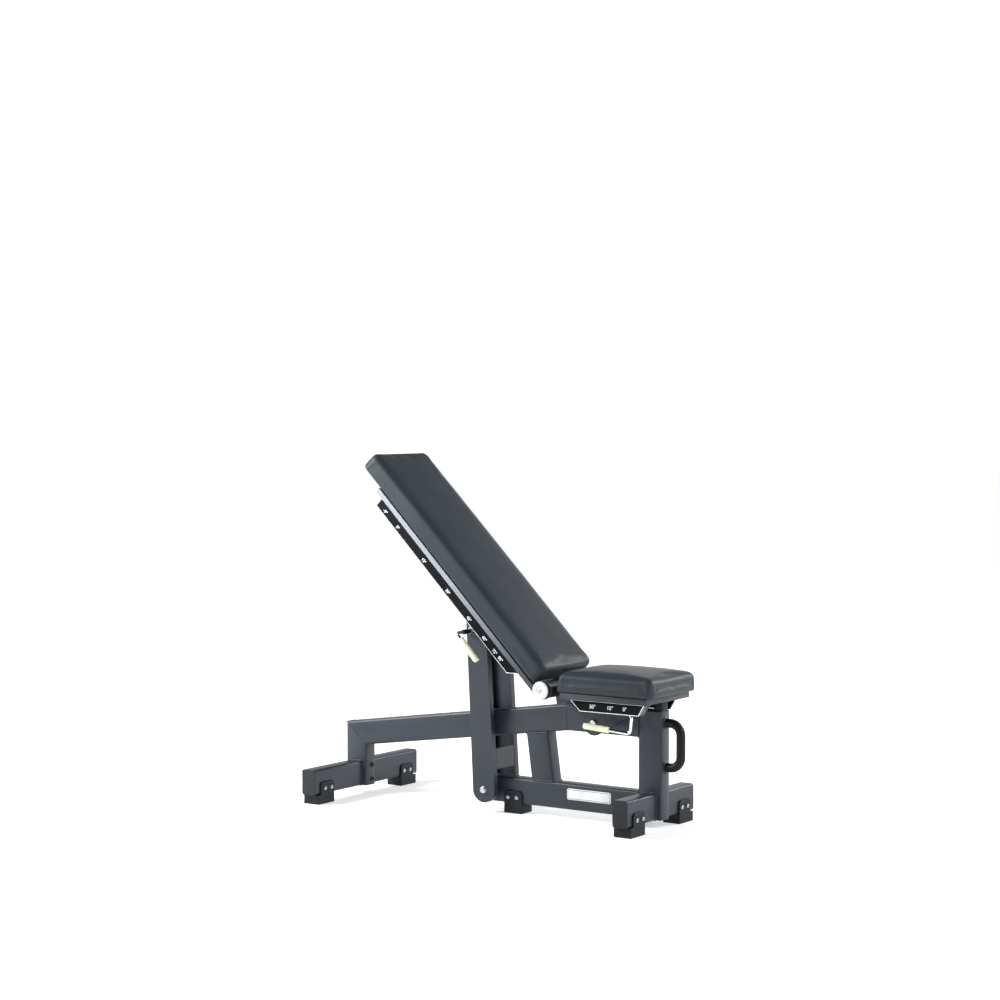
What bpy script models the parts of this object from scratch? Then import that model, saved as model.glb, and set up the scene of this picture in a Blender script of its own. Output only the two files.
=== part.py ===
"""Adjustable weight bench: a welded tube frame, a reclining back with a ladder prop, and a tilting seat.

Metres, +Z up.  +X runs from the head end to the foot end, +Y to the sitter's left.  The origin is on the
floor, under the middle of the bench.  Lengths along the bench are first given from the rear face of the
front post, which is where a maker would measure them from, and one root empty moves them to the origin.
"""
import math

import bmesh
import bpy
from mathutils import Matrix, Vector
from mathutils.geometry import tessellate_polygon

# ---------------------------------------------------------------- driving dimensions
GAP = 0.0003                    # clearance between pieces that touch
TUBE_DEPTH = 0.080              # frame tube, the tall side
TUBE_WIDTH = 0.050              # frame tube, the narrow side
TUBE_WALL = 0.003
TUBE_CORNER = 0.007             # outside corner radius of the tube
FOOT_HEIGHT = 0.030             # floor to the underside of the frame
BAR_CENTRE_Z = FOOT_HEIGHT + TUBE_DEPTH / 2

POST_FRONT_X = TUBE_DEPTH / 2   # centre line of the front post
POST_REAR_X = -1.055            # centre line of the rear post
HEAD_TOP_Z = 0.350              # top of the level beam under the seat
SPINE_SLOPE = math.radians(8.0)
KINK_X = -0.2515                # where the level beam meets the sloping one
LOWER_BEAM_END_X = -0.560
BRACE_TOP_X = -0.3635

FRONT_BAR_HALF = 0.190
REAR_BAR_HALF = 0.265

HANDLE_REACH = 0.0515           # post face to the handle's centre line
HANDLE_TOP_Z = 0.3165
HANDLE_LOW_Z = 0.185
HANDLE_RADIUS = 0.0135

HINGE = Vector((-0.266, 0.0, 0.402))        # back and seat share this axis
HINGE_TUBE_RADIUS = 0.020
HINGE_TUBE_HALF = 0.1425
SLEEVE_RADIUS = 0.026           # plastic sleeve over the hinge tube
LUG_RADIUS = 0.0285
BACK_ANGLE = math.radians(45.0)

PROP_PIVOT = Vector((-0.524, 0.0, 0.071))
PROP_LEAN = math.radians(3.2)
PROP_HALF_WIDTH = 0.040         # the channel's web, along the bench
PROP_OUTER_Y = 0.0695
PROP_FLANGE = 0.020
PROP_WALL = 0.004
AXLE_RADIUS = 0.008

BACK_WIDTH = 0.288
BACK_START = 0.032              # distance up the back from the hinge
BACK_END = 0.946
BACK_UNDER = -0.0088            # below the hinge axis, square to the back
BACK_TOP = 0.052
BACK_BOARD_WIDTH = 0.2458
BACK_BOARD_START = 0.038
BACK_BOARD_END = 0.851
BACK_BOARD_TOP = -0.0092
BACK_BOARD_UNDER = -0.0330
SIDE_BAR_INNER_Y = 0.1235       # flat bar down each side of the back, ending in its hinge eye
SIDE_BAR_OUTER_Y = 0.1305
SIDE_BAR_TOP = -0.0170
SIDE_BAR_UNDER = -0.0333
SIDE_BAR_END = 0.852
RAIL_OUTER_Y = 0.085
RAIL_DEPTH_Y = 0.012
RAIL_START = 0.143
RAIL_END = 0.842
RAIL_LOW = -0.089

SEAT_WIDTH = 0.274
SEAT_REAR_X = -0.215
SEAT_FRONT_X = 0.110
SEAT_UNDER_Z = 0.400
SEAT_TOP_Z = 0.458
SEAT_BOARD_REAR_X = -0.212
SEAT_BOARD_FRONT_X = 0.088
SEAT_BOARD_WIDTH = 0.253
SEAT_BOARD_THICK = 0.0200
TRAY_OUTER_Y = 0.107
TRAY_DEPTH_Y = 0.033
TRAY_LOW_Z = 0.3455
CUSHION_EDGE = 0.022            # rounding of the soft solids

STRUT_PIVOT = Vector((-0.149, 0.0, 0.302))
STRUT_PIN = Vector((-0.013, 0.0, 0.358))
STRUT_INNER_Y = 0.0275
STRUT_THICK = 0.006
STRUT_PIN_RADIUS = 0.005
STRUT_BOLT_RADIUS = 0.006
STRUT_BIG_END = 0.038
STRUT_SMALL_END = 0.017

PROP_LENGTH = 0.512             # axle to latch pin
PROP_TIP_RADIUS = 0.036
LATCH_PIN_RADIUS = 0.007
LATCH_PIN_INNER_Y = 0.046       # clear of the beam that the folded prop straddles
BACK_LEVER_AXIS = Vector((-0.025, 0.0, 0.487))   # in the prop's own frame
LEVER_ROD_RADIUS = 0.005
GRIP_RADIUS = 0.0095

CENTRE_X = (POST_REAR_X - TUBE_DEPTH / 2 + TUBE_DEPTH + HANDLE_REACH + HANDLE_RADIUS) / 2

COLOURS = {
    "frame": ((0.050, 0.055, 0.062), 0.40, 0.30),
    "black_plastic": ((0.012, 0.012, 0.013), 0.50, 0.0),
    "rubber": ((0.015, 0.015, 0.015), 0.80, 0.0),
    "chrome": ((0.80, 0.80, 0.82), 0.12, 1.0),
    "zinc": ((0.62, 0.62, 0.64), 0.35, 1.0),
    "grip": ((0.78, 0.88, 0.35), 0.45, 0.0),
    "white_plastic": ((0.85, 0.85, 0.85), 0.40, 0.0),
    "leather": ((0.020, 0.021, 0.023), 0.38, 0.0),
    "board": ((0.030, 0.032, 0.035), 0.60, 0.0),
    "silver_board": ((0.40, 0.41, 0.43), 0.35, 0.60),
    "scale": ((0.008, 0.008, 0.009), 0.30, 0.0),
}


SIDES = (("near", -1), ("far", 1))


# ---------------------------------------------------------------- scene, bodies and materials
def clear_scene():
    for item in list(bpy.data.objects):
        bpy.data.objects.remove(item, do_unlink=True)


def make_material(name):
    colour, roughness, metallic = COLOURS[name]
    material = bpy.data.materials.new(name)
    material.use_nodes = True
    shader = material.node_tree.nodes["Principled BSDF"]
    shader.inputs["Base Color"].default_value = (*colour, 1.0)
    shader.inputs["Roughness"].default_value = roughness
    shader.inputs["Metallic"].default_value = metallic
    material.diffuse_color = (*colour, 1.0)
    return material


def make_body(name, parent, place, turn=0.0):
    """An empty on the joint's axis; turn is about +Y."""
    empty = bpy.data.objects.new(name, None)
    bpy.context.collection.objects.link(empty)
    empty.parent = parent
    empty.location = place
    empty.rotation_euler = (0.0, turn, 0.0)
    return empty


def add_mesh(name, mesh_builder, body, material, smooth=False):
    """Make an object from a bmesh given in its body's own frame."""
    bmesh.ops.remove_doubles(mesh_builder, verts=mesh_builder.verts, dist=1e-6)
    bmesh.ops.recalc_face_normals(mesh_builder, faces=mesh_builder.faces)
    mesh = bpy.data.meshes.new(name)
    mesh_builder.to_mesh(mesh)
    mesh_builder.free()
    if smooth:
        mesh.shade_smooth()
        mesh.set_sharp_from_angle(angle=math.radians(35))
    item = bpy.data.objects.new(name, mesh)
    item.data.materials.append(MATERIALS[material])
    item.parent = body
    bpy.context.collection.objects.link(item)
    return item


# ---------------------------------------------------------------- outlines
def arc(centre, radius, start, end, steps):
    """Points on an arc in a plane, angles in degrees."""
    angles = [math.radians(start + (end - start) * i / steps) for i in range(steps + 1)]
    return [(centre[0] + radius * math.cos(a), centre[1] + radius * math.sin(a)) for a in angles]


def circle(centre, radius, sides):
    return arc(centre, radius, 0.0, 360.0, sides)[:-1]


def rounded_rectangle(width, height, radius, steps=3):
    a = width / 2 - radius
    b = height / 2 - radius
    corners = [((a, b), 0), ((-a, b), 90), ((-a, -b), 180), ((a, -b), 270)]
    points = []
    for centre, start in corners:
        points += arc(centre, radius, start, start + 90, steps)
    return points


def shrink(points, distance):
    """Move each side of an anticlockwise outline inwards by the same distance."""
    count = len(points)
    moved = []
    for i in range(count):
        before = Vector(points[i]) - Vector(points[i - 1])
        after = Vector(points[(i + 1) % count]) - Vector(points[i])
        normal_before = Vector((-before.y, before.x)).normalized()
        normal_after = Vector((-after.y, after.x)).normalized()
        mitre = (normal_before + normal_after).normalized()
        reach = distance / max(mitre.dot(normal_before), 0.3)
        moved.append(tuple(Vector(points[i]) + mitre * reach))
    return moved


def hull_of_two_circles(first, first_radius, second, second_radius, steps=8):
    """Outline of a link with two round ends, the second end lying towards +X."""
    run = Vector(second) - Vector(first)
    heading = math.degrees(math.atan2(run.y, run.x))
    tangent = math.degrees(math.acos((first_radius - second_radius) / run.length))
    rear = arc(first, first_radius, heading + tangent, heading + 360 - tangent, steps * 2)
    front = arc(second, second_radius, heading - tangent, heading + tangent, steps)
    return rear + front


# ---------------------------------------------------------------- solids
def add_wall(builder, loop_a, loop_b):
    count = len(loop_a)
    for i in range(count):
        j = (i + 1) % count
        builder.faces.new((loop_a[i], loop_a[j], loop_b[j], loop_b[i]))


def add_cap(builder, loops):
    """Fill an outline and the holes in it."""
    flat = [vert for loop in loops for vert in loop]
    for triangle in tessellate_polygon([[vert.co for vert in loop] for loop in loops]):
        builder.faces.new([flat[i] for i in triangle])


def plate(outlines, near_y, far_y):
    """Extrude an outline in the XZ plane, with holes, from one Y to another."""
    builder = bmesh.new()
    near = [[builder.verts.new((x, near_y, z)) for x, z in outline] for outline in outlines]
    far = [[builder.verts.new((x, far_y, z)) for x, z in outline] for outline in outlines]
    for loop_near, loop_far in zip(near, far):
        add_wall(builder, loop_near, loop_far)
    add_cap(builder, near)
    add_cap(builder, far)
    return builder


def channel(outline, wall, outer_y, web_y, open_y, holes=()):
    """A pressed channel: a web with a flange all round its edge, open on one side."""
    builder = bmesh.new()
    inner = shrink(outline, wall)
    outer_face = [builder.verts.new((x, outer_y, z)) for x, z in outline]
    outer_lip = [builder.verts.new((x, open_y, z)) for x, z in outline]
    inner_lip = [builder.verts.new((x, open_y, z)) for x, z in inner]
    inner_face = [builder.verts.new((x, web_y, z)) for x, z in inner]
    add_wall(builder, outer_face, outer_lip)
    add_wall(builder, outer_lip, inner_lip)
    add_wall(builder, inner_lip, inner_face)
    holes_out = [[builder.verts.new((x, outer_y, z)) for x, z in hole] for hole in holes]
    holes_in = [[builder.verts.new((x, web_y, z)) for x, z in hole] for hole in holes]
    for hole_out, hole_in in zip(holes_out, holes_in):
        add_wall(builder, hole_out, hole_in)
    add_cap(builder, [outer_face] + holes_out)
    add_cap(builder, [inner_face] + holes_in)
    return builder


def square_tube(start, end, side, up, side_size, up_size, start_normal=None, end_normal=None):
    """A rectangular tube from start to end; each end may be cut on a slanting plane."""
    axis = (end - start).normalized()
    cuts = ((start, start_normal or axis), (end, end_normal or axis))
    outer = rounded_rectangle(side_size, up_size, TUBE_CORNER)
    inner = rounded_rectangle(side_size - 2 * TUBE_WALL, up_size - 2 * TUBE_WALL, TUBE_CORNER - TUBE_WALL)
    builder = bmesh.new()
    rings = []
    for profile in (outer, inner):
        for point, normal in cuts:
            ring = []
            for a, b in profile:
                offset = side * a + up * b
                slide = -offset.dot(normal) / axis.dot(normal)
                ring.append(builder.verts.new(point + offset + axis * slide))
            rings.append(ring)
    outer_start, outer_end, inner_start, inner_end = rings
    add_wall(builder, outer_start, outer_end)
    add_wall(builder, inner_start, inner_end)
    add_wall(builder, outer_start, inner_start)
    add_wall(builder, outer_end, inner_end)
    return builder


def turned(profile, centre, closed, sides=24):
    """Turn a profile of (radius, y) about an axis along Y through centre (x, z)."""
    builder = bmesh.new()
    rings = []
    for radius, y in profile:
        if radius < 1e-9:
            rings.append([builder.verts.new((centre[0], y, centre[1]))])
            continue
        rings.append([builder.verts.new((x, y, z)) for x, z in circle(centre, radius, sides)])
    pairs = list(zip(rings, rings[1:]))
    if closed:
        pairs.append((rings[-1], rings[0]))
    for ring_a, ring_b in pairs:
        if len(ring_a) == 1:
            for i in range(sides):
                builder.faces.new((ring_a[0], ring_b[(i + 1) % sides], ring_b[i]))
        elif len(ring_b) == 1:
            for i in range(sides):
                builder.faces.new((ring_a[i], ring_a[(i + 1) % sides], ring_b[0]))
        else:
            add_wall(builder, ring_a, ring_b)
    return builder


def bolt_profile(shank_radius, head_radius, shank_half, head_thick):
    """A through bolt with a head on each side, symmetric about the XZ plane."""
    end = shank_half + head_thick
    bevel = 0.0015
    return [
        (0.0, -end), (head_radius - bevel, -end), (head_radius, -end + bevel),
        (head_radius, -shank_half), (shank_radius, -shank_half), (shank_radius, shank_half),
        (head_radius, shank_half), (head_radius, end - bevel), (head_radius - bevel, end), (0.0, end),
    ]


def block(low, high):
    """A plain box between two corners."""
    builder = bmesh.new()
    size = Vector(high) - Vector(low)
    middle = (Vector(high) + Vector(low)) / 2
    place = Matrix.Translation(middle) @ Matrix.Diagonal((*size, 1.0))
    bmesh.ops.create_cube(builder, size=1.0, matrix=place)
    return builder


def bevel_object(item, width, segments):
    modifier = item.modifiers.new("rounding", "BEVEL")
    modifier.width = width
    modifier.segments = segments
    modifier.limit_method = "ANGLE"
    modifier.angle_limit = math.radians(30)


def bent_path(corners, bend_radius, steps=5):
    """Points along straight runs joined by arcs of one radius."""
    corners = [Vector(corner) for corner in corners]
    points = [corners[0]]
    for before, corner, after in zip(corners, corners[1:], corners[2:]):
        back = (before - corner).normalized()
        ahead = (after - corner).normalized()
        half = back.angle(ahead) / 2
        setback = bend_radius / math.tan(half)
        centre = corner + (back + ahead).normalized() * (bend_radius / math.sin(half))
        first = (corner + back * setback - centre).normalized()
        last = (corner + ahead * setback - centre).normalized()
        for i in range(steps + 1):
            points.append(centre + first.slerp(last, i / steps) * bend_radius)
    points.append(corners[-1])
    return points


def rod(name, points, radius, body, material, resolution=3):
    """A round bar along a path, as a curve with a round section and filled ends."""
    data = bpy.data.curves.new(name, "CURVE")
    data.dimensions = "3D"
    data.bevel_depth = radius
    data.bevel_resolution = resolution
    data.use_fill_caps = True
    spline = data.splines.new("POLY")
    spline.points.add(len(points) - 1)
    for target, source in zip(spline.points, points):
        target.co = (*source, 1.0)
    item = bpy.data.objects.new(name, data)
    data.materials.append(MATERIALS[material])
    item.parent = body
    bpy.context.collection.objects.link(item)
    return item


def cut_round_hole(item, centre, radius, half_length, body):
    """Bore a hole along Y with a hidden cutter."""
    profile = [(0.0, -half_length), (radius, -half_length), (radius, half_length), (0.0, half_length)]
    cutter = add_mesh(item.name + "_cutter", turned(profile, centre, closed=False), body, "frame")
    cutter.hide_render = True
    cutter.display_type = "WIRE"
    modifier = item.modifiers.new("bore", "BOOLEAN")
    modifier.operation = "DIFFERENCE"
    modifier.object = cutter


# ---------------------------------------------------------------- the welded base
X_AXIS = Vector((1, 0, 0))
Y_AXIS = Vector((0, 1, 0))
Z_AXIS = Vector((0, 0, 1))


def spine_centre(x):
    """Point on the sloping beam's centre line."""
    head_centre_z = HEAD_TOP_Z - TUBE_DEPTH / 2
    return Vector((x, 0.0, head_centre_z + (x - KINK_X) * math.tan(SPINE_SLOPE)))


def add_frame_tubes(base):
    slope_axis = Vector((math.cos(SPINE_SLOPE), 0.0, math.sin(SPINE_SLOPE)))
    slope_up = Vector((-math.sin(SPINE_SLOPE), 0.0, math.cos(SPINE_SLOPE)))
    kink = spine_centre(KINK_X)
    kink_normal = (slope_axis + X_AXIS).normalized()
    elbow = spine_centre(POST_REAR_X)
    elbow_normal = (slope_axis + Z_AXIS).normalized()
    trim = GAP / 2

    def tube(name, start, end, side, up, side_size, up_size, cut_start=None, cut_end=None):
        builder = square_tube(start, end, side, up, side_size, up_size, cut_start, cut_end)
        return add_mesh(name, builder, base, "frame", smooth=True)

    tube("rear_post", Vector((POST_REAR_X, 0, FOOT_HEIGHT)), elbow - Z_AXIS * trim,
         Y_AXIS, X_AXIS, TUBE_WIDTH, TUBE_DEPTH, None, elbow_normal)
    tube("spine_beam", elbow + slope_axis * trim, kink - slope_axis * trim,
         Y_AXIS, slope_up, TUBE_WIDTH, TUBE_DEPTH, elbow_normal, kink_normal)
    head = tube("head_beam", kink + X_AXIS * trim, Vector((-GAP, 0, kink.z)),
                Y_AXIS, Z_AXIS, TUBE_WIDTH, TUBE_DEPTH, kink_normal, None)
    tube("front_post", Vector((POST_FRONT_X, 0, FOOT_HEIGHT)), Vector((POST_FRONT_X, 0, HEAD_TOP_Z)),
         Y_AXIS, X_AXIS, TUBE_WIDTH, TUBE_DEPTH)
    lower = tube("lower_beam", Vector((LOWER_BEAM_END_X, 0, BAR_CENTRE_Z)), Vector((-GAP, 0, BAR_CENTRE_Z)),
                 Y_AXIS, Z_AXIS, TUBE_WIDTH, TUBE_DEPTH)
    cut_round_hole(head, (STRUT_PIVOT.x, STRUT_PIVOT.z), STRUT_BOLT_RADIUS + GAP, TUBE_WIDTH, base)
    cut_round_hole(lower, (PROP_PIVOT.x, PROP_PIVOT.z), AXLE_RADIUS + GAP, TUBE_WIDTH, base)

    brace_top = spine_centre(BRACE_TOP_X) - slope_up * (TUBE_DEPTH / 2 + GAP)
    lower_top_z = FOOT_HEIGHT + TUBE_DEPTH + GAP
    drop = (brace_top.z - lower_top_z) / slope_up.z
    tube("mid_brace", brace_top - slope_up * drop, brace_top,
         Y_AXIS, slope_axis, TUBE_WIDTH, TUBE_DEPTH, Z_AXIS, slope_up)

    for end_name, post_x, half in (("front", POST_FRONT_X, FRONT_BAR_HALF), ("rear", POST_REAR_X, REAR_BAR_HALF)):
        for side_name, sign in (("near", -1), ("far", 1)):
            inner = Vector((post_x, sign * (TUBE_WIDTH / 2 + GAP), BAR_CENTRE_Z))
            outer = Vector((post_x, sign * half, BAR_CENTRE_Z))
            tube(f"{end_name}_crossbar_{side_name}", inner, outer,
                 X_AXIS, Z_AXIS, TUBE_WIDTH, TUBE_DEPTH)


def stepped_plug(centre, outward, side, up, side_size, up_size, thick, insert, bumper=None):
    """A moulded end plug: a cover plate with a smaller block that goes into the tube.

    bumper is (offset along side, side size, up size, height) of a raised pad on the cover.
    """
    cover = rounded_rectangle(side_size, up_size, TUBE_CORNER)
    core_trim = 2 * (TUBE_WALL + GAP * 3)
    core = rounded_rectangle(side_size - core_trim, up_size - core_trim, TUBE_CORNER - TUBE_WALL - GAP)
    builder = bmesh.new()
    rings = []
    levels = [(cover, thick), (cover, 0.0), (core, 0.0), (core, -insert)]
    if bumper:
        offset, pad_side, pad_up, height = bumper
        pad = [(a + offset, b) for a, b in rounded_rectangle(pad_side, pad_up, TUBE_CORNER)]
        crown = [(a + offset, b) for a, b in rounded_rectangle(pad_side - 0.004, pad_up - 0.004, TUBE_CORNER - 0.002)]
        levels = [(crown, height), (pad, height - 0.002), (pad, thick)] + levels
    for profile, distance in levels:
        rings.append([builder.verts.new(centre + side * a + up * b + outward * distance) for a, b in profile])
    for ring_a, ring_b in zip(rings, rings[1:]):
        add_wall(builder, ring_a, ring_b)
    builder.faces.new(rings[0])
    builder.faces.new(rings[-1])
    return builder


def add_plugs(base):
    cover = 0.003
    insert = 0.012
    for end_name, post_x, half in (("front", POST_FRONT_X, FRONT_BAR_HALF), ("rear", POST_REAR_X, REAR_BAR_HALF)):
        for side_name, sign in (("near", -1), ("far", 1)):
            centre = Vector((post_x, sign * (half + GAP), BAR_CENTRE_Z))
            builder = stepped_plug(centre, Y_AXIS * sign, X_AXIS, Z_AXIS, TUBE_WIDTH, TUBE_DEPTH, cover, insert)
            add_mesh(f"{end_name}_bar_cap_{side_name}", builder, base, "black_plastic")
    # the front post's plug carries the bumper that the seat comes down on
    top = Vector((POST_FRONT_X, 0.0, HEAD_TOP_Z + GAP))
    height = SEAT_UNDER_Z - SEAT_BOARD_THICK - GAP * 3 - top.z
    builder = stepped_plug(top, Z_AXIS, X_AXIS, Y_AXIS, TUBE_DEPTH, TUBE_WIDTH, 0.0022, insert,
                           (0.023, 0.030, 0.038, height))
    add_mesh("seat_stop", builder, base, "rubber")
    rear = Vector((LOWER_BEAM_END_X - GAP, 0.0, BAR_CENTRE_Z))
    builder = stepped_plug(rear, -X_AXIS, Y_AXIS, Z_AXIS, TUBE_WIDTH, TUBE_DEPTH, cover, 0.008)
    add_mesh("lower_beam_cap", builder, base, "black_plastic")


def foot(start, along, outward, length, depth, tab_start, tab_end):
    """A rubber shoe under a bar: a block, with a round-cornered tab up one side face.

    start is the floor point at one end of the bar's tabbed side face, along runs down the bar and
    outward away from that face.  Distances depth, tab_start and tab_end are measured from there.
    """
    tab_height = 0.040
    tab_thick = 0.006
    skirt = 0.003
    corner = 0.012
    block_top = FOOT_HEIGHT - GAP
    tab_top = FOOT_HEIGHT + tab_height
    tab = arc((tab_end - corner, tab_top - corner), corner, 0, 90, 4)
    tab += arc((tab_start + corner, tab_top - corner), corner, 90, 180, 4)
    front = [(0.0, 0.0), (length, 0.0), (length, block_top), (tab_end, block_top)]
    front += tab + [(tab_start, block_top), (0.0, block_top)]
    base_face = [(0.0, 0.0), (length, 0.0), (length, block_top), (0.0, block_top)]
    builder = bmesh.new()

    def ring(points, offset):
        places = [start + along * a + outward * offset + Z_AXIS * b for a, b in points]
        return [builder.verts.new(place) for place in places]

    outer = ring(front, tab_thick)
    inner = ring(front, GAP)
    back = ring(base_face, -depth - skirt)
    add_cap(builder, [outer])
    add_wall(builder, outer, inner)
    # the block's own face at the bar is left out, so the block and the tab are one body
    low_left, low_right, top_right, tab_right = inner[:4]
    tab_left, top_left = inner[-2:]
    add_cap(builder, [[tab_right] + inner[4:-2] + [tab_left]])
    builder.faces.new((low_left, low_right, back[1], back[0]))
    builder.faces.new((low_right, top_right, back[2], back[1]))
    builder.faces.new((top_right, tab_right, tab_left, top_left, back[3], back[2]))
    builder.faces.new((top_left, low_left, back[0], back[3]))
    builder.faces.new(back)
    return builder


def add_feet(base):
    inset = 0.009                   # the shoe stops short of the bar's end
    length = 0.081
    tab = (0.015, 0.081)
    for end_name, post_x, half in (("front", POST_FRONT_X, FRONT_BAR_HALF), ("rear", POST_REAR_X, REAR_BAR_HALF)):
        face_x = post_x + TUBE_WIDTH / 2
        for side_name, sign in (("near", -1), ("far", 1)):
            start = Vector((face_x, sign * (half - inset), 0.0))
            builder = foot(start, Y_AXIS * -sign, X_AXIS, length, TUBE_WIDTH, *tab)
            add_mesh(f"foot_{end_name}_{side_name}", builder, base, "rubber")
    start = Vector((-0.475, -TUBE_WIDTH / 2, 0.0))
    builder = foot(start, X_AXIS, -Y_AXIS, 0.065, TUBE_WIDTH, 0.0, 0.065)
    add_mesh("foot_middle", builder, base, "rubber")


def add_hinge(base):
    bore = HINGE_TUBE_RADIUS + GAP
    collar = 0.031
    kink_top_x = KINK_X - TUBE_DEPTH / 2 * math.tan(SPINE_SLOPE / 2)
    heel_x = -0.288
    toe_x = -0.205
    foot_z = HEAD_TOP_Z + GAP
    heel_z = foot_z + (heel_x - kink_top_x) * math.tan(SPINE_SLOPE)
    round_top = arc((HINGE.x, HINGE.z), collar, -20, 200, 14)
    outline = [(heel_x, heel_z), (kink_top_x, foot_z), (toe_x, foot_z)] + round_top
    hole = circle((HINGE.x, HINGE.z), bore, 32)
    half = 0.022
    add_mesh("hinge_bracket", plate([outline, hole], -half, half), base, "frame", smooth=True)
    wall = 0.003
    profile = [
        (HINGE_TUBE_RADIUS, -HINGE_TUBE_HALF), (HINGE_TUBE_RADIUS, HINGE_TUBE_HALF),
        (HINGE_TUBE_RADIUS - wall, HINGE_TUBE_HALF), (HINGE_TUBE_RADIUS - wall, -HINGE_TUBE_HALF),
    ]
    add_mesh("hinge_tube", turned(profile, (HINGE.x, HINGE.z), closed=True, sides=32), base, "frame", smooth=True)
    sleeve_inner = 0.0595
    sleeve_outer = 0.1195
    for side_name, sign in SIDES:
        profile = [(bore, sleeve_inner), (SLEEVE_RADIUS, sleeve_inner), (SLEEVE_RADIUS, sleeve_outer), (bore, sleeve_outer)]
        profile = [(radius, sign * y) for radius, y in profile]
        sleeve = turned(profile, (HINGE.x, HINGE.z), closed=True, sides=32)
        add_mesh(f"hinge_sleeve_{side_name}", sleeve, base, "black_plastic", smooth=True)
    cap_radius = 0.027
    cap_thick = 0.006
    spigot = HINGE_TUBE_RADIUS - wall - GAP
    for side_name, sign in (("near", -1), ("far", 1)):
        face = HINGE_TUBE_HALF + GAP
        profile = [
            (0.0, face + cap_thick), (cap_radius - 0.002, face + cap_thick),
            (cap_radius, face + cap_thick - 0.002), (cap_radius, face),
            (spigot, face), (spigot, face - 0.012), (0.0, face - 0.012),
        ]
        profile = [(radius, sign * y) for radius, y in profile]
        cap = turned(profile, (HINGE.x, HINGE.z), closed=False, sides=32)
        add_mesh(f"hinge_cap_{side_name}", cap, base, "white_plastic", smooth=True)


def add_base_details(base):
    face_x = POST_FRONT_X + TUBE_DEPTH / 2 + GAP
    reach_x = face_x + HANDLE_REACH - GAP
    corners = [(face_x, 0, HANDLE_TOP_Z), (reach_x, 0, HANDLE_TOP_Z),
               (reach_x, 0, HANDLE_LOW_Z), (face_x, 0, HANDLE_LOW_Z)]
    rod("carry_handle", bent_path(corners, 0.034, 6), HANDLE_RADIUS, base, "black_plastic", 6)

    axle = bolt_profile(AXLE_RADIUS, 0.010, PROP_OUTER_Y + GAP, 0.007)
    add_mesh("prop_axle", turned(axle, (PROP_PIVOT.x, PROP_PIVOT.z), closed=False), base, "zinc", smooth=True)
    bolt = bolt_profile(STRUT_BOLT_RADIUS, 0.010, STRUT_INNER_Y + STRUT_THICK + GAP, 0.007)
    add_mesh("strut_bolt", turned(bolt, (STRUT_PIVOT.x, STRUT_PIVOT.z), closed=False), base, "zinc", smooth=True)

    label_y = -TUBE_WIDTH / 2 - GAP
    outline = [(x - 0.170, z + 0.0790) for x, z in rounded_rectangle(0.155, 0.034, 0.006)]
    add_mesh("label_plate", plate([outline], label_y - 0.001, label_y), base, "white_plastic")


# ---------------------------------------------------------------- the back, modelled level and then raised
def add_back(back, bushes):
    """The back lies along -X in its own frame, with its hinge at the origin."""
    cushion = add_mesh("back_cushion",
                       block((-BACK_END, -BACK_WIDTH / 2, BACK_UNDER), (-BACK_START, BACK_WIDTH / 2, BACK_TOP)),
                       back, "leather")
    bevel_object(cushion, CUSHION_EDGE, 4)
    board = add_mesh("back_board",
                     block((-BACK_BOARD_END, -BACK_BOARD_WIDTH / 2, BACK_BOARD_UNDER),
                           (-BACK_BOARD_START, BACK_BOARD_WIDTH / 2, BACK_BOARD_TOP)),
                     back, "board")
    bevel_object(board, 0.002, 2)
    top = BACK_BOARD_UNDER - GAP
    slant = abs(RAIL_LOW - top)
    outline = [(-RAIL_END, RAIL_LOW), (-RAIL_START, RAIL_LOW), (-RAIL_START + slant, top), (-RAIL_END, top)]
    bush_radius = HINGE_TUBE_RADIUS + 0.0035
    eye = arc((0.0, 0.0), LUG_RADIUS, -80, 150, 18)
    eye += [(-0.036, SIDE_BAR_TOP), (-SIDE_BAR_END, SIDE_BAR_TOP),
            (-SIDE_BAR_END, SIDE_BAR_UNDER), (-0.012, SIDE_BAR_UNDER)]
    hole = circle((0.0, 0.0), bush_radius + GAP, 32)
    for side_name, sign in SIDES:
        outer = sign * RAIL_OUTER_Y
        rail = channel(outline, 0.003, outer, outer - sign * 0.003, outer - sign * RAIL_DEPTH_Y)
        add_mesh(f"back_rail_{side_name}", rail, back, "scale")
        side_bar = plate([eye, hole], sign * SIDE_BAR_INNER_Y, sign * SIDE_BAR_OUTER_Y)
        add_mesh(f"back_side_bar_{side_name}", side_bar, back, "silver_board", smooth=True)
        bore = HINGE_TUBE_RADIUS + GAP
        flange = 0.027
        profile = [
            (bore, SIDE_BAR_INNER_Y - 0.003), (flange, SIDE_BAR_INNER_Y - 0.003), (flange, SIDE_BAR_INNER_Y - GAP),
            (bush_radius, SIDE_BAR_INNER_Y - GAP), (bush_radius, SIDE_BAR_OUTER_Y + 0.0015),
            (bore, SIDE_BAR_OUTER_Y + 0.0015),
        ]
        profile = [(radius, sign * y) for radius, y in profile]
        bush = turned(profile, (0.0, 0.0), closed=True, sides=32)
        add_mesh(f"hinge_bush_{side_name}", bush, bushes, "black_plastic", smooth=True)


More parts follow.
